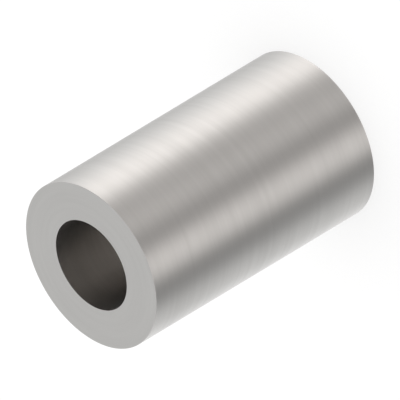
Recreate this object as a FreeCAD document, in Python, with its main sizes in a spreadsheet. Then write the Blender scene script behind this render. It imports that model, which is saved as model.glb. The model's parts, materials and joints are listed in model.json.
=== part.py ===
"""Round spacer sleeve, turned in one piece from steel bar.

It is a plain straight tube: one outside diameter, a bore that goes right through, two end faces
faced square to the bore, and four rims with nothing more than the sharp corner taken off. A screw
passes through the bore and the two end faces hold two parts a fixed distance apart.

The sleeve stands on one end face. The origin is the middle of that face, at the foot of the bore,
and +Z runs up along the bore to the other end. Lengths are in millimetres.
"""
import FreeCAD
import Part
import Sketcher
import math
import os

PARTS_FOLDER = "parts"
SHEET_NAME = "sizes"
SLEEVE_LABEL = "spacer_sleeve"

# Driving dimensions: name, millimetres, what it measures.
DRIVING_DIMENSIONS = (
    ("outer_diameter", 12.0, "outside of the sleeve"),
    ("bore_diameter", 6.5, "through bore, with room round a 6 mm screw"),
    ("sleeve_length", 20.0, "from end face to end face, the distance that the sleeve holds"),
    ("rim_break", 0.02, "corner taken off the outer rim of each end, at 45 degrees"),
    ("mouth_break", 0.02, "corner taken off each mouth of the bore, at 45 degrees"),
)

FULL_TURN_DEGREES = 360.0
RADIUS_TOLERANCE = 1e-6
VOLUME_TOLERANCE = 1e-6
BROKEN_STATES = ("Invalid", "Error")


def make_sheet(doc):
    """Writes the driving dimensions into a spreadsheet, one row each, with an alias on each number."""
    sheet = doc.addObject("Spreadsheet::Sheet", SHEET_NAME)
    for row, (name, millimetres, meaning) in enumerate(DRIVING_DIMENSIONS, start=1):
        sheet.set(f"A{row}", name)
        sheet.set(f"B{row}", str(millimetres))
        sheet.set(f"C{row}", meaning)
        sheet.setAlias(f"B{row}", name)
    doc.recompute()
    return sheet


def add_sketch(body, name, plane_role):
    """Adds an empty sketch to a body, lying on one of the body's own origin planes."""
    plane = next(item for item in body.Origin.OriginFeatures if item.Role == plane_role)
    sketch = body.newObject("Sketcher::SketchObject", name)
    sketch.AttachmentSupport = (plane, [""])
    sketch.MapMode = "FlatFace"
    return sketch


def drive(sketch, constraint, expression):
    """Adds a named driving constraint to a sketch and binds it to an expression on the sheet."""
    name, relation = constraint
    index = sketch.addConstraint(relation)
    sketch.renameConstraint(index, name)
    sketch.setExpression(f"Constraints.{name}", expression)


def circular_edges(shape, radius):
    """Names the edges of a shape that are whole circles of the given radius."""
    return [
        f"Edge{number}"
        for number, edge in enumerate(shape.Edges, start=1)
        if isinstance(edge.Curve, Part.Circle) and abs(edge.Curve.Radius - radius) < RADIUS_TOLERANCE
    ]


def turn_blank(body, sheet):
    """Turns the solid blank: half of its section, from the axis to the outside, revolved about +Z."""
    sketch = add_sketch(body, "blank_section", "XZ_Plane")
    radius = sheet.outer_diameter / 2
    length = sheet.sleeve_length
    corners = [(0, 0), (radius, 0), (radius, length), (0, length)]
    points = [FreeCAD.Vector(x, y, 0) for x, y in corners]
    sides = [Part.LineSegment(points[i], points[(i + 1) % len(points)]) for i in range(len(points))]
    foot, outside, top, axis = sketch.addGeometry(sides, False)
    start, end = 1, 2
    for first, second in ((foot, outside), (outside, top), (top, axis), (axis, foot)):
        sketch.addConstraint(Sketcher.Constraint("Coincident", first, end, second, start))
    sketch.addConstraint(Sketcher.Constraint("Coincident", foot, start, -1, 1))
    for side in (foot, top):
        sketch.addConstraint(Sketcher.Constraint("Horizontal", side))
    for side in (outside, axis):
        sketch.addConstraint(Sketcher.Constraint("Vertical", side))
    drive(
        sketch,
        ("outer_radius", Sketcher.Constraint("DistanceX", foot, start, foot, end, radius)),
        f"{SHEET_NAME}.outer_diameter / 2",
    )
    drive(
        sketch,
        ("length", Sketcher.Constraint("DistanceY", outside, start, outside, end, length)),
        f"{SHEET_NAME}.sleeve_length",
    )

    blank = body.newObject("PartDesign::Revolution", "turned_blank")
    blank.Profile = sketch
    blank.ReferenceAxis = (sketch, ["V_Axis"])
    blank.Angle = FULL_TURN_DEGREES
    body.Document.recompute()
    return blank


def drill_bore(body, sheet):
    """Bores the blank right through, on its axis, from the foot to the top."""
    sketch = add_sketch(body, "bore_circle", "XY_Plane")
    centre = FreeCAD.Vector(0, 0, 0)
    up = FreeCAD.Vector(0, 0, 1)
    circle = sketch.addGeometry(Part.Circle(centre, up, sheet.bore_diameter / 2), False)
    sketch.addConstraint(Sketcher.Constraint("Coincident", circle, 3, -1, 1))
    drive(
        sketch,
        ("diameter", Sketcher.Constraint("Diameter", circle, sheet.bore_diameter)),
        f"{SHEET_NAME}.bore_diameter",
    )

    bore = body.newObject("PartDesign::Pocket", "bore")
    bore.Profile = sketch
    bore.Type = "ThroughAll"
    bore.Reversed = True
    body.Document.recompute()
    return bore


def break_corners(body, name, feature, diameter, size_expression):
    """Takes the sharp corner off every rim of the given diameter."""
    chamfer = body.newObject("PartDesign::Chamfer", name)
    chamfer.Base = (feature, circular_edges(feature.Shape, diameter / 2))
    chamfer.setExpression("Size", size_expression)
    body.Document.recompute()
    return chamfer


def make_sleeve(doc, sheet):
    """Makes the sleeve in the order in which it is machined: turn, bore, deburr."""
    body = doc.addObject("PartDesign::Body", SLEEVE_LABEL)
    body.Label = SLEEVE_LABEL
    turn_blank(body, sheet)
    bore = drill_bore(body, sheet)
    rims = break_corners(
        body, "rim_breaks", bore, sheet.outer_diameter, f"{SHEET_NAME}.rim_break"
    )
    break_corners(
        body, "mouth_breaks", rims, sheet.bore_diameter, f"{SHEET_NAME}.mouth_break"
    )
    body.Placement = FreeCAD.Placement()
    return body


def corner_ring_volume(radius, leg, material_side):
    """Volume that a 45 degree break takes from one rim: a small triangle swept round the axis.

    material_side is -1 where the metal lies inside the rim and +1 where it lies outside it.
    """
    triangle = leg * leg / 2
    centroid_radius = radius + material_side * leg / 3
    return triangle * 2 * math.pi * centroid_radius


def expected_volume(sheet):
    """Volume of the finished sleeve, worked out from the dimensions alone."""
    outer = sheet.outer_diameter / 2
    inner = sheet.bore_diameter / 2
    tube = math.pi * (outer * outer - inner * inner) * sheet.sleeve_length
    one_end = corner_ring_volume(outer, sheet.rim_break, -1)
    one_end += corner_ring_volume(inner, sheet.mouth_break, +1)
    return tube - 2 * one_end


def check_model(doc, sheet, sleeve):
    """Stops the build if any object failed, or if the sleeve isn't the solid that its sizes say."""
    for item in doc.Objects:
        if any(state in BROKEN_STATES for state in item.State):
            raise RuntimeError(f"{item.Label} did not compute: {item.State}")
    shape = sleeve.Shape
    if shape.isNull() or not shape.isValid() or len(shape.Solids) != 1:
        raise RuntimeError(f"{sleeve.Label} is not one valid solid")
    expected = expected_volume(sheet)
    if abs(shape.Volume - expected) > VOLUME_TOLERANCE * expected:
        raise RuntimeError(f"{sleeve.Label} holds {shape.Volume} mm3, and its sizes give {expected}")


def write_parts(bodies):
    """Writes one STEP file for each sub-part, named by its label."""
    os.makedirs(PARTS_FOLDER, exist_ok=True)
    for body in bodies:
        path = os.path.join(PARTS_FOLDER, f"{body.Label}.step")
        body.Shape.exportStep(path)
        box = body.Shape.BoundBox
        print(f"{path}: {box.XLength:.3f} x {box.YLength:.3f} x {box.ZLength:.3f} mm")


def main():
    doc = FreeCAD.newDocument("spacer_sleeve_model")
    sheet = make_sheet(doc)
    sleeve = make_sleeve(doc, sheet)
    doc.recompute()
    check_model(doc, sheet, sleeve)
    write_parts([sleeve])


main()
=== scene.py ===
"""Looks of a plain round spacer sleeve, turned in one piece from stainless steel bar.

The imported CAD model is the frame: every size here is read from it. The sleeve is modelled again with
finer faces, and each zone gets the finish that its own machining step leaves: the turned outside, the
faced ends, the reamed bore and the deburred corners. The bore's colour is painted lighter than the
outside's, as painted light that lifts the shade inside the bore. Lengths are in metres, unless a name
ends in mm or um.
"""
import json
import logging
import math
from collections.abc import Callable
from dataclasses import dataclass, field
from enum import Enum

import bmesh
import bpy
from mathutils import Matrix, Vector

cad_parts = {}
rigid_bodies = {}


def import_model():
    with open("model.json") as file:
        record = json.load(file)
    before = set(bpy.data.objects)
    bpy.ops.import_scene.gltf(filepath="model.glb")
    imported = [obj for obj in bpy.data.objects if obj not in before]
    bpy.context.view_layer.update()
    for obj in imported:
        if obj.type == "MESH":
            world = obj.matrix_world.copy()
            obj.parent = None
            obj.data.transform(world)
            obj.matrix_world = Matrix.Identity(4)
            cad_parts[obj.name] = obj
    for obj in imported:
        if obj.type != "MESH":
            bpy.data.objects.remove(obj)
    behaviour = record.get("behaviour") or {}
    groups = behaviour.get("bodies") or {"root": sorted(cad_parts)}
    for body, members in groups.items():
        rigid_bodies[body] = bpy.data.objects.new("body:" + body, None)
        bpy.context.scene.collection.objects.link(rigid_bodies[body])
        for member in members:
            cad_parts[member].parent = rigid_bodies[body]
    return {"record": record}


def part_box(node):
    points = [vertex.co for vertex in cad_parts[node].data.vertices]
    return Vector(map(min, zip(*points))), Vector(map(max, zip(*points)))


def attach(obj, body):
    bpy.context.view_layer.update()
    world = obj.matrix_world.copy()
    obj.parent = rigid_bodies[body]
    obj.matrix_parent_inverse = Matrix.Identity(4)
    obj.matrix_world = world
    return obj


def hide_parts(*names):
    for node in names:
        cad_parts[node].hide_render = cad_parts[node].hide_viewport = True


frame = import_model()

log = logging.getLogger("sleeve")

MM = 0.001
MICRON = 0.001 * MM
WHITE = (1.0, 1.0, 1.0, 1.0)
QUARTER_TURN = 0.25
SHARP_EDGE_DEGREES = 30
# How far a point may lie off its rim, as a share of the smallest corner break.
RIM_SLACK = 0.1
# The upright part of a face's normal: above the first it lies flat, below the second it stands upright.
LYING_FLAT = 0.9
STANDING_UP = 0.1
# The rings are soft noise with a little finer detail in it. It hardly leaves the range from low to
# high, which the rings stretch from dull to bright.
NOISE_DETAIL = 2.0
NOISE_ROUGHNESS = 0.5
NOISE_LOW = 0.3
NOISE_HIGH = 0.7
# The UV map that the surface is laid out on has this name, with this much room between its patches.
BAKE_MAP = "OFBake"
BAKE_MAP_GAP = 0.5 * MM
# The camera sees from its distance divided by this to its distance times this.
CLIP_RANGE = 100


def linear(hex_colour: str) -> tuple[float, float, float, float]:
    """Turns an sRGB hex colour into linear light.

    Args:
        hex_colour: Six hex digits with a leading #.

    Returns:
        Red, green and blue in linear light, with an alpha of 1.
    """
    parts = [int(hex_colour[place:place + 2], 16) / 255 for place in (1, 3, 5)]
    # The sRGB curve is a straight line near black and a power above it.
    red, green, blue = [
        part / 12.92 if part <= 0.04045 else ((part + 0.055) / 1.055) ** 2.4 for part in parts
    ]
    return red, green, blue, 1.0


def add_node(
    tree: bpy.types.NodeTree, kind: str, settings: dict | None = None, inputs: dict | None = None
) -> bpy.types.Node:
    """Adds one node with its settings, its socket values and its links.

    Args:
        tree: The node tree that the node goes into.
        kind: Blender's name of the node's type.
        settings: Properties of the node itself, by name.
        inputs: What goes into its sockets, by name or number: a value, or a socket to link from.

    Returns:
        The new node.
    """
    node = tree.nodes.new(kind)
    for name, value in (settings or {}).items():
        setattr(node, name, value)
    for name, value in (inputs or {}).items():
        if isinstance(value, bpy.types.NodeSocket):
            tree.links.new(value, node.inputs[name])
        else:
            node.inputs[name].default_value = value
    return node


def deselect_all() -> None:
    """Deselects every object, because an operator acts on all that is selected."""
    for item in bpy.context.view_layer.objects:
        item.select_set(False)


class Element(Enum):
    """What is selected in edit mode, by Blender's name for it."""

    EDGE = "EDGE"
    FACE = "FACE"


def select_only(mesh: bpy.types.Mesh, element: Element, wanted: Callable[..., bool]) -> None:
    """Selects, in edit mode, exactly the edges or faces that pass a test.

    Args:
        mesh: The mesh in edit mode.
        element: Whether edges or faces are selected.
        wanted: The test, which is given one edge or one face.
    """
    bpy.ops.mesh.select_mode(type=element.value)
    bpy.ops.mesh.select_all(action="DESELECT")
    edit = bmesh.from_edit_mesh(mesh)
    for item in edit.faces if element is Element.FACE else edit.edges:
        item.select_set(wanted(item))
    edit.select_flush_mode()
    bmesh.update_edit_mesh(mesh)


class Zone(Enum):
    """The zones of the sleeve, each with its number among the piece's material slots."""

    OUTSIDE = 0
    END_FACE = 1
    BORE = 2
    CORNER = 3


class Across(Enum):
    """The direction in which one tool mark follows the next."""

    AXIS = "from ring to ring along the axis"
    RADIUS = "from ring to ring outwards from the axis"


@dataclass(frozen=True)
class MachinedSteel:
    """Bare stainless steel as a cutting tool leaves it: fine rings round the axis.

    Attributes:
        name: What the surface is and how it was made.
        light: Colour of the metal where a ring is clean cut, as sRGB hex.
        dark: Colour of the metal in the slightly torn rings, as sRGB hex.
        roughness: Middle roughness of the surface.
        roughness_spread: How far the rings lie above and below it.
        anisotropy: How much further the rings spread a reflection across them than along them.
        across: The direction from one ring to the next.
        pitch_mm: Distance from ring to ring, as drawn.
        fade_mm: Distance round the sleeve over which a ring grows fainter or stronger.
        height_um: Height of the rings.
    """

    name: str
    light: str
    dark: str
    roughness: float
    roughness_spread: float
    anisotropy: float
    across: Across
    pitch_mm: float
    fade_mm: float
    height_um: float

    def material(self) -> bpy.types.Material:
        """Builds the material from the finish's values.

        Returns:
            The material, ready for a slot.
        """
        material = bpy.data.materials.new(self.name)
        material.use_nodes = True
        tree = material.node_tree
        tree.nodes.clear()
        rings = self._rings(tree)
        colour = add_node(
            tree,
            "ShaderNodeMix",
            {"data_type": "RGBA"},
            {"Factor": rings, "A": linear(self.dark), "B": linear(self.light)},
        )
        roughness = add_node(
            tree,
            "ShaderNodeMapRange",
            None,
            {
                "Value": rings,
                "To Min": self.roughness + self.roughness_spread,
                "To Max": self.roughness - self.roughness_spread,
            },
        )
        bump = add_node(
            tree,
            "ShaderNodeBump",
            None,
            {"Strength": 1.0, "Distance": self.height_um * MICRON, "Height": rings},
        )
        # The tangent runs along the rings, and the reflection is drawn out a quarter turn from it.
        along_rings = add_node(tree, "ShaderNodeTangent", {"direction_type": "RADIAL", "axis": "Z"})
        steel = add_node(
            tree,
            "ShaderNodeBsdfPrincipled",
            None,
            {
                "Base Color": colour.outputs["Result"],
                "Metallic": 1.0,
                "Roughness": roughness.outputs["Result"],
                "Anisotropic": self.anisotropy,
                "Anisotropic Rotation": QUARTER_TURN,
                "Normal": bump.outputs["Normal"],
                "Tangent": along_rings.outputs["Tangent"],
            },
        )
        add_node(tree, "ShaderNodeOutputMaterial", None, {"Surface": steel.outputs["BSDF"]})
        return material

    def _rings(self, tree: bpy.types.NodeTree) -> bpy.types.NodeSocket:
        """Adds the rings, from 0 in a dull ring to 1 in a bright one.

        Args:
            tree: The material's node tree.

        Returns:
            The socket that holds them.
        """
        place = add_node(tree, "ShaderNodeTexCoord")
        parts = add_node(tree, "ShaderNodeSeparateXYZ", None, {"Vector": place.outputs["Object"]})
        if self.across is Across.AXIS:
            along = parts.outputs["Z"]
        else:
            flat = add_node(
                tree,
                "ShaderNodeCombineXYZ",
                None,
                {"X": parts.outputs["X"], "Y": parts.outputs["Y"]},
            )
            along = add_node(
                tree, "ShaderNodeVectorMath", {"operation": "LENGTH"}, {0: flat.outputs["Vector"]}
            ).outputs["Value"]
        stack = add_node(
            tree,
            "ShaderNodeCombineXYZ",
            None,
            {"X": parts.outputs["X"], "Y": parts.outputs["Y"], "Z": along},
        )
        per_fade = 1 / (self.fade_mm * MM)
        scaled = add_node(
            tree,
            "ShaderNodeMapping",
            None,
            {
                "Vector": stack.outputs["Vector"],
                "Scale": (per_fade, per_fade, 1 / (self.pitch_mm * MM)),
            },
        )
        noise = add_node(
            tree,
            "ShaderNodeTexNoise",
            None,
            {
                "Vector": scaled.outputs["Vector"],
                "Scale": 1.0,
                "Detail": NOISE_DETAIL,
                "Roughness": NOISE_ROUGHNESS,
            },
        )
        return add_node(
            tree,
            "ShaderNodeMapRange",
            None,
            {"Value": noise.outputs["Fac"], "From Min": NOISE_LOW, "From Max": NOISE_HIGH},
        ).outputs["Result"]


# The outside has had a light finishing cut. It shows as satin steel with soft, even reflections, and
# only close up as fine rings. The real feed of about 0.1 mm is too fine to show, so the rings are
# drawn three times as far apart.
TURNED_OUTSIDE = MachinedSteel(
    name="stainless_steel_finish_turned",
    light="#BDBCBA",
    dark="#B9B8B6",
    roughness=0.42,
    roughness_spread=0.015,
    anisotropy=0.5,
    across=Across.AXIS,
    pitch_mm=0.3,
    fade_mm=9.0,
    height_um=0.3,
)

# The ends were faced square with the same tool. Their rings run round the bore.
FACED_END = MachinedSteel(
    name="stainless_steel_faced",
    light="#BCBBB9",
    dark="#B9B8B6",
    roughness=0.36,
    roughness_spread=0.02,
    anisotropy=0.0,
    across=Across.RADIUS,
    pitch_mm=0.35,
    fade_mm=6.0,
    height_um=0.3,
)

# The bore was drilled and reamed, which burnishes it: it is a little smoother than the outside. Its
# colour is painted lighter than the outside's steel: painted light that lifts the shade inside the
# bore. Light reaches the eye after several reflections in it, so it shows dark and its rings hardly
# show.
REAMED_BORE_PAINTED_LIGHTER = MachinedSteel(
    name="stainless_steel_reamed_painted_lighter",
    light="#CDCAC7",
    dark="#C6C3C0",
    roughness=0.31,
    roughness_spread=0.01,
    anisotropy=0.1,
    across=Across.AXIS,
    pitch_mm=0.35,
    fade_mm=5.0,
    height_um=0.15,
)

# The corners were only deburred, which burnishes them a little.
DEBURRED_CORNER = MachinedSteel(
    name="stainless_steel_deburred",
    light="#C1BFBD",
    dark="#B8B6B4",
    roughness=0.32,
    roughness_spread=0.04,
    anisotropy=0.0,
    across=Across.AXIS,
    pitch_mm=0.5,
    fade_mm=1.5,
    height_um=0.2,
)


@dataclass
class Sleeve:
    """The sleeve: a round tube that stands on one end, with its foot at the origin.

    Attributes:
        node: Name of the CAD node that it stands for.
        outer_radius: Radius of the outside.
        bore_radius: Radius of the bore.
        length: Distance from end face to end face.
        rim_break: Corner taken off the outer rims.
        mouth_break: Corner taken off the mouths of the bore.
        sides: Faces round the sleeve, enough for its outline to look round.
        finishes: The finish of each zone.
    """

    node: str
    outer_radius: float
    bore_radius: float
    length: float
    rim_break: float
    mouth_break: float
    sides: int = 256
    finishes: dict[Zone, MachinedSteel] = field(
        default_factory=lambda: {
            Zone.OUTSIDE: TURNED_OUTSIDE,
            Zone.END_FACE: FACED_END,
            # The bore's finish carries painted light: a lighter colour that lifts the shade inside it.
            Zone.BORE: REAMED_BORE_PAINTED_LIGHTER,
            Zone.CORNER: DEBURRED_CORNER,
        }
    )

    @classmethod
    def from_frame(cls, node: str) -> "Sleeve":
        """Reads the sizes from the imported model, where each mount's length leaves out the corners.

        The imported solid's faces are flat, so its box is a hair narrower one way than the other, and
        the sleeve takes the least, to stay inside it.

        Args:
            node: Name of the CAD node.

        Returns:
            The sleeve at the size of that node.
        """
        lowest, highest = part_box(node)
        length = highest[2] - lowest[2]
        mounts = {mount["name"]: mount["dims"] for mount in frame["record"]["mounts"]}
        return cls(
            node=node,
            outer_radius=min(highest[0], highest[1], -lowest[0], -lowest[1]),
            bore_radius=mounts["bore"]["r_mm"] * MM,
            length=length,
            rim_break=(length - mounts["outside"]["length_mm"] * MM) / 2,
            mouth_break=(length - mounts["bore"]["length_mm"] * MM) / 2,
        )

    def build(self) -> bpy.types.Object:
        """Models the sleeve, dresses it and ties it to the frame.

        Returns:
            The finished piece.
        """
        piece = self._turn_blank()
        bpy.ops.object.mode_set(mode="EDIT")
        self._bore_through(piece.data)
        self._break_corners(piece.data, self.outer_radius, self.rim_break)
        self._break_corners(piece.data, self.bore_radius, self.mouth_break)
        bpy.ops.object.mode_set(mode="OBJECT")
        bpy.ops.object.shade_smooth_by_angle(angle=math.radians(SHARP_EDGE_DEGREES))
        self._lay_out_map(piece.data)
        self._dress(piece.data)
        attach(piece, "root")
        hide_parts(self.node)
        return piece

    def _turn_blank(self) -> bpy.types.Object:
        """Adds the solid blank, standing on the origin, with its place in its mesh.

        Returns:
            The new piece, the only object selected.
        """
        deselect_all()
        bpy.ops.mesh.primitive_cylinder_add(
            vertices=self.sides,
            radius=self.outer_radius,
            depth=self.length,
            end_fill_type="NGON",
            location=(0, 0, self.length / 2),
        )
        piece = bpy.context.object
        piece.name = "sleeve"
        piece.data.name = "sleeve"
        bpy.ops.object.transform_apply(location=True, rotation=True, scale=True)
        return piece

    def _bore_through(self, mesh: bpy.types.Mesh) -> None:
        """Opens the bore: insets each end face to its edge and bridges the two.

        Args:
            mesh: The piece's mesh, in edit mode.
        """
        # An inset moves the flats between the corners, which lie nearer to the axis than the corners.
        wall = (self.outer_radius - self.bore_radius) * math.cos(math.pi / self.sides)
        select_only(mesh, Element.FACE, self._is_round)
        bpy.ops.mesh.inset(thickness=wall, depth=0, use_even_offset=True)
        select_only(mesh, Element.FACE, self._is_round)
        bpy.ops.mesh.bridge_edge_loops()

    def _break_corners(self, mesh: bpy.types.Mesh, radius: float, size: float) -> None:
        """Takes the sharp corner off both rims of the given radius.

        Args:
            mesh: The piece's mesh, in edit mode.
            radius: Radius of the rims.
            size: What is taken off each side of the corner.
        """
        select_only(mesh, Element.EDGE, lambda edge: self._is_on_rim(edge, radius))
        bpy.ops.mesh.bevel(offset=size, offset_type="OFFSET", segments=1, affect="EDGES")

    def _is_round(self, face: bmesh.types.BMFace) -> bool:
        """Tells a face that fills a whole circle, as the ends of the blank do."""
        return len(face.verts) == self.sides

    def _is_on_rim(self, edge: bmesh.types.BMEdge, radius: float) -> bool:
        """Tells whether an edge runs along a rim of the given radius, at either end.

        Args:
            edge: An edge of the mesh.
            radius: Radius of the rim.

        Returns:
            Whether it lies level, at one end of the sleeve and at that radius.
        """
        slack = RIM_SLACK * min(self.rim_break, self.mouth_break)
        one, other = (vert.co for vert in edge.verts)
        level = abs(one.z - other.z) < slack
        at_end = abs(abs(one.z - self.length / 2) - self.length / 2) < slack
        at_radius = all(abs(place.xy.length - radius) < slack for place in (one, other))
        return level and at_end and at_radius

    def _is_outer(self, face: bpy.types.MeshPolygon) -> bool:
        """Tells whether a face lies nearer to the outside than to the bore."""
        return face.center.xy.length > (self.outer_radius + self.bore_radius) / 2

    def _zone_of(self, face: bpy.types.MeshPolygon) -> Zone:
        """Tells a face's zone by its normal and its place.

        Args:
            face: A face of the finished mesh.

        Returns:
            The zone that it belongs to.
        """
        if abs(face.normal.z) > LYING_FLAT:
            return Zone.END_FACE
        if abs(face.normal.z) > STANDING_UP:
            return Zone.CORNER
        return Zone.OUTSIDE if self._is_outer(face) else Zone.BORE

    def _unrolled(self, point: Vector, turn: float, radius: float) -> Vector:
        """Unrolls a point of a wall, or of a broken corner at its edge.

        Args:
            point: The point on the sleeve.
            turn: Direction in which the point's face lies from the axis, so that no face is torn.
            radius: Radius of the wall.

        Returns:
            How far the point lies along the unrolled wall and above its foot.
        """
        lean = math.remainder(math.atan2(point.y, point.x) - turn, 2 * math.pi)
        past_edge = math.copysign(abs(point.xy.length - radius), point.z - self.length / 2)
        return Vector((radius * (math.pi + turn + lean), point.z + past_edge))

    def _lay_out_map(self, mesh: bpy.types.Mesh) -> None:
        """Lays the surface out flat and to scale in a UV map.

        The outside lies along the foot of the sheet, and the bore and the two end faces lie in a row
        above it. The broken corners stay on the edges of their walls.

        Args:
            mesh: The finished mesh.
        """
        gap = BAKE_MAP_GAP
        row = self.length + 2 * gap
        disc = self.outer_radius + gap
        first_disc = 2 * math.pi * self.bore_radius + gap + disc
        sheet = first_disc + 3 * disc
        mapped = mesh.uv_layers.new(name=BAKE_MAP).data
        for face in mesh.polygons:
            turn = math.atan2(face.center.y, face.center.x)
            upper = face.center.z > self.length / 2
            for corner in face.loop_indices:
                point = mesh.vertices[mesh.loops[corner].vertex_index].co
                if self._zone_of(face) is Zone.END_FACE:
                    place = Vector((first_disc + 2 * disc * upper, row + disc)) + point.xy
                elif self._is_outer(face):
                    place = Vector((gap, gap)) + self._unrolled(point, turn, self.outer_radius)
                else:
                    place = Vector((gap, gap + row)) + self._unrolled(point, turn, self.bore_radius)
                mapped[corner].uv = place / sheet

    def _dress(self, mesh: bpy.types.Mesh) -> None:
        """Gives each zone its finish.

        Args:
            mesh: The finished mesh.
        """
        for zone in Zone:
            mesh.materials.append(self.finishes[zone].material())
        for face in mesh.polygons:
            face.material_index = self._zone_of(face).value


@dataclass(frozen=True)
class Sector:
    """A range of directions round the sleeve.

    Attributes:
        azimuth: Direction of its middle, in degrees from -Y towards +X.
        half_width: Half of the angle that it covers, in degrees.
        edge: Width of its soft edge, in degrees.
    """

    azimuth: float
    half_width: float
    edge: float

    def mask(self, tree: bpy.types.NodeTree, heading: bpy.types.NodeSocket) -> bpy.types.NodeSocket:
        """Adds the nodes that tell whether a direction lies in the sector.

        Args:
            tree: The world's node tree.
            heading: The horizontal direction of the ray, one unit long.

        Returns:
            A socket with 1 inside the sector and 0 outside it.
        """
        turn = math.radians(self.azimuth)
        nearness = add_node(
            tree,
            "ShaderNodeVectorMath",
            {"operation": "DOT_PRODUCT"},
            {0: heading, 1: (math.sin(turn), -math.cos(turn), 0)},
        )
        return add_node(
            tree,
            "ShaderNodeMapRange",
            {"interpolation_type": "SMOOTHSTEP"},
            {
                "Value": nearness.outputs["Value"],
                "From Min": math.cos(math.radians(self.half_width + self.edge / 2)),
                "From Max": math.cos(math.radians(self.half_width - self.edge / 2)),
            },
        ).outputs["Result"]


@dataclass(frozen=True)
class Card(Sector):
    """A tall card or softbox that stands round the sleeve, as its reflections see it.

    Attributes:
        name: What it is.
        level: Its brightness, where 1 is white.
    """

    name: str
    level: float


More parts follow.
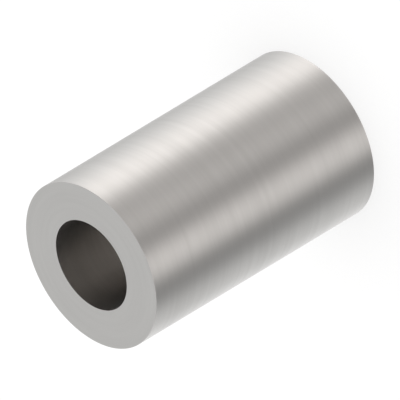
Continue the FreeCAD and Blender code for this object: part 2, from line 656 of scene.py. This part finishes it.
@dataclass
class Studio:
    """A pale floor, a white backdrop with soft cards in front of it, and the camera.

    Attributes:
        sleeve: The sleeve, whose middle the camera looks at.
        elevation: How far above the horizon the camera stands, in degrees.
        roll: How far the camera is turned about its own line of sight, in degrees.
        frame_width: Width of the picture at the sleeve.
        camera_distance: From the sleeve's middle to the camera.
        floor_size: Side of the floor.
        paper: Colour of the floor's paper, as sRGB hex.
        floor_white: How much of the floor the camera sees as plain white, from 0 to 1.
        backdrop: Brightness of the white backdrop all round, which the camera and the metal both see.
        ceiling: Brightness of the ceiling.
        wall_top: Elevation at which the cards and walls begin to give way to the ceiling, in degrees.
        ceiling_edge: Elevation above which there is only ceiling, in degrees.
        lamp_level: Brightness of the softbox, where 1 is white.
        lamp_radius: Radius of the softbox.
        lamp_height: Height of the softbox above the floor.
        cards: What stands round the sleeve, each in front of those before it.
        warm_side: The side of the room that is lit a little warmer.
        warm_white: Colour of the light there, as sRGB hex.
    """

    sleeve: Sleeve
    elevation: float = 34.43
    roll: float = -121.023
    frame_width: float = 0.02597
    camera_distance: float = 0.3
    floor_size: float = 2.0
    paper: str = "#FCFCFC"
    floor_white: float = 0.6
    backdrop: float = 1.0
    ceiling: float = 0.89
    wall_top: float = 5
    ceiling_edge: float = 30
    lamp_level: float = 0.6
    lamp_radius: float = 0.45
    lamp_height: float = 0.5
    # For each card: azimuth, half width and soft edge in degrees, name, brightness.
    cards: tuple[Card, ...] = (
        Card(-170, 30, 20, "rear fill", 1.4),
        Card(155, 5, 10, "rear gap", 0.65),
        Card(25, 80, 60, "key softbox", 2.1),
        Card(-60, 30, 40, "black flag", 0.25),
        Card(-43, 12, 20, "strip light", 1.4),
        Card(-5, 17, 10, "gap by the camera", 0.4),
        Card(25, 20, 15, "front fill", 0.95),
        Card(47, 15, 20, "grey card", 0.65),
    )
    warm_side: Sector = Sector(azimuth=19, half_width=83, edge=8)
    warm_white: str = "#FFFBF9"

    def build(self) -> None:
        """Builds the floor, the light and the camera."""
        self._add_floor()
        self._add_softbox()
        self._light_room()
        self._add_camera()
        bpy.context.scene.view_settings.view_transform = "Standard"

    def _add_floor(self) -> None:
        """Adds the floor, which shows white with the sleeve's soft shadow.

        The metal doesn't reflect it, because the sleeve is pictured with open studio below it.
        """
        deselect_all()
        bpy.ops.mesh.primitive_plane_add(size=self.floor_size)
        floor = bpy.context.object
        floor.name = "floor"
        floor.data.materials.append(self._floor_material())
        floor.visible_glossy = False
        floor.visible_shadow = False

    def _floor_material(self) -> bpy.types.Material:
        """Builds the floor's white paper, of which the camera sees a part as plain white.

        That part ends under the sleeve's wall, so that the paper at the foot of the bore stays dim.

        Returns:
            The material.
        """
        material = bpy.data.materials.new("white_background_paper")
        material.use_nodes = True
        tree = material.node_tree
        tree.nodes.clear()
        place = add_node(tree, "ShaderNodeTexCoord")
        from_axis = add_node(
            tree, "ShaderNodeVectorMath", {"operation": "LENGTH"}, {0: place.outputs["Object"]}
        )
        outside = add_node(
            tree,
            "ShaderNodeMapRange",
            None,
            {
                "Value": from_axis.outputs["Value"],
                "From Min": self.sleeve.bore_radius,
                "From Max": self.sleeve.outer_radius,
                "To Max": self.floor_white,
            },
        )
        rays = add_node(tree, "ShaderNodeLightPath")
        share = add_node(
            tree,
            "ShaderNodeMath",
            {"operation": "MULTIPLY"},
            {0: rays.outputs["Is Camera Ray"], 1: outside.outputs["Result"]},
        )
        paper = add_node(tree, "ShaderNodeBsdfDiffuse", None, {"Color": linear(self.paper)})
        white = add_node(
            tree, "ShaderNodeEmission", None, {"Color": WHITE, "Strength": self.backdrop}
        )
        both = add_node(
            tree,
            "ShaderNodeMixShader",
            None,
            {"Fac": share.outputs[0], 1: paper.outputs[0], 2: white.outputs[0]},
        )
        add_node(tree, "ShaderNodeOutputMaterial", None, {"Surface": both.outputs[0]})
        return material

    def _add_softbox(self) -> None:
        """Adds the large softbox overhead, which gives the floor its shadow."""
        data = bpy.data.lights.new("overhead_softbox", "AREA")
        data.shape = "DISK"
        data.size = 2 * self.lamp_radius
        area = math.pi * self.lamp_radius**2
        # A flat lamp's power is its brightness times its area times pi.
        data.energy = self.lamp_level * area * math.pi
        lamp = bpy.data.objects.new("overhead_softbox", data)
        lamp.location = (0, 0, self.lamp_height)
        lamp.visible_glossy = False
        bpy.context.scene.collection.objects.link(lamp)

    def _light_room(self) -> None:
        """Builds the world: a white backdrop, the cards in front of it by azimuth, and a ceiling.

        Every ray sees the same backdrop, so the metal shows it too, wherever no card stands in front
        of it. Only the camera looks past the cards, as they stand outside its view.
        """
        world = bpy.data.worlds.new("studio_room")
        bpy.context.scene.world = world
        world.use_nodes = True
        tree = world.node_tree
        tree.nodes.clear()
        place = add_node(tree, "ShaderNodeTexCoord")
        parts = add_node(tree, "ShaderNodeSeparateXYZ", None, {"Vector": place.outputs["Generated"]})
        flat = add_node(
            tree, "ShaderNodeCombineXYZ", None, {"X": parts.outputs["X"], "Y": parts.outputs["Y"]}
        )
        heading = add_node(
            tree, "ShaderNodeVectorMath", {"operation": "NORMALIZE"}, {0: flat.outputs["Vector"]}
        ).outputs["Vector"]
        overhead = self._overhead(tree, parts.outputs["Z"])
        room_light = add_node(
            tree,
            "ShaderNodeBackground",
            None,
            {
                "Color": self._room_colour(tree, heading, overhead),
                "Strength": self._room_level(tree, heading, overhead),
            },
        )
        backdrop = add_node(
            tree, "ShaderNodeBackground", None, {"Color": WHITE, "Strength": self.backdrop}
        )
        rays = add_node(tree, "ShaderNodeLightPath")
        seen = add_node(
            tree,
            "ShaderNodeMixShader",
            None,
            {"Fac": rays.outputs["Is Camera Ray"], 1: room_light.outputs[0], 2: backdrop.outputs[0]},
        )
        add_node(tree, "ShaderNodeOutputWorld", None, {"Surface": seen.outputs[0]})

    def _overhead(
        self, tree: bpy.types.NodeTree, height: bpy.types.NodeSocket
    ) -> bpy.types.NodeSocket:
        """Adds how far the walls have given way to the ceiling.

        Args:
            tree: The world's node tree.
            height: The upright part of the ray's direction, which is one unit long.

        Returns:
            A socket with 0 on the walls and 1 on the ceiling.
        """
        return add_node(
            tree,
            "ShaderNodeMapRange",
            {"interpolation_type": "SMOOTHSTEP"},
            {
                "Value": height,
                "From Min": math.sin(math.radians(self.wall_top)),
                "From Max": math.sin(math.radians(self.ceiling_edge)),
            },
        ).outputs["Result"]

    def _room_level(
        self,
        tree: bpy.types.NodeTree,
        heading: bpy.types.NodeSocket,
        overhead: bpy.types.NodeSocket,
    ) -> bpy.types.NodeSocket:
        """Adds the room's brightness: the backdrop, each card in front of it, then the ceiling.

        Args:
            tree: The world's node tree.
            heading: The horizontal direction of the ray, one unit long.
            overhead: How far the walls have given way to the ceiling.

        Returns:
            The socket that holds the brightness.
        """
        level: float | bpy.types.NodeSocket = self.backdrop
        for card in self.cards:
            level = add_node(
                tree,
                "ShaderNodeMix",
                {"data_type": "FLOAT"},
                {"Factor": card.mask(tree, heading), "A": level, "B": card.level},
            ).outputs["Result"]
        return add_node(
            tree,
            "ShaderNodeMix",
            {"data_type": "FLOAT"},
            {"Factor": overhead, "A": level, "B": self.ceiling},
        ).outputs["Result"]

    def _room_colour(
        self,
        tree: bpy.types.NodeTree,
        heading: bpy.types.NodeSocket,
        overhead: bpy.types.NodeSocket,
    ) -> bpy.types.NodeSocket:
        """Adds the colour of the light: white, and a little warmer on one side of the walls.

        Args:
            tree: The world's node tree.
            heading: The horizontal direction of the ray, one unit long.
            overhead: How far the walls have given way to the ceiling.

        Returns:
            The socket that holds the colour.
        """
        on_walls = add_node(tree, "ShaderNodeMath", {"operation": "SUBTRACT"}, {0: 1.0, 1: overhead})
        warmth = add_node(
            tree,
            "ShaderNodeMath",
            {"operation": "MULTIPLY"},
            {0: self.warm_side.mask(tree, heading), 1: on_walls.outputs[0]},
        )
        return add_node(
            tree,
            "ShaderNodeMix",
            {"data_type": "RGBA"},
            {"Factor": warmth.outputs[0], "A": WHITE, "B": linear(self.warm_white)},
        ).outputs["Result"]

    def _add_camera(self) -> None:
        """Adds the camera: a parallel view from -Y, rolled until the standing sleeve lies aslant."""
        data = bpy.data.cameras.new("camera")
        data.type = "ORTHO"
        data.ortho_scale = self.frame_width
        data.clip_start = self.camera_distance / CLIP_RANGE
        data.clip_end = self.camera_distance * CLIP_RANGE
        camera = bpy.data.objects.new("camera", data)
        rise = math.radians(self.elevation)
        back = Vector((0, -math.cos(rise), math.sin(rise)))
        upright = (-back).to_track_quat("-Z", "Y").to_matrix().to_4x4()
        rolled = upright @ Matrix.Rotation(math.radians(self.roll), 4, "Z")
        middle = Vector((0, 0, self.sleeve.length / 2))
        camera.matrix_world = Matrix.Translation(middle + back * self.camera_distance) @ rolled
        bpy.context.scene.collection.objects.link(camera)
        bpy.context.scene.camera = camera


def main() -> None:
    """Builds the sleeve and its studio."""
    logging.basicConfig(level=logging.INFO, format="%(name)s: %(message)s")
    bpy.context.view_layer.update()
    sleeve = Sleeve.from_frame("spacer_sleeve")
    piece = sleeve.build()
    log.info("%s: %d faces, %d finishes", piece.name, len(piece.data.polygons), len(Zone))
    studio = Studio(sleeve)
    studio.build()
    log.info("studio: %d cards, camera %s", len(studio.cards), bpy.context.scene.camera.name)


if __name__ == "__main__":
    main()
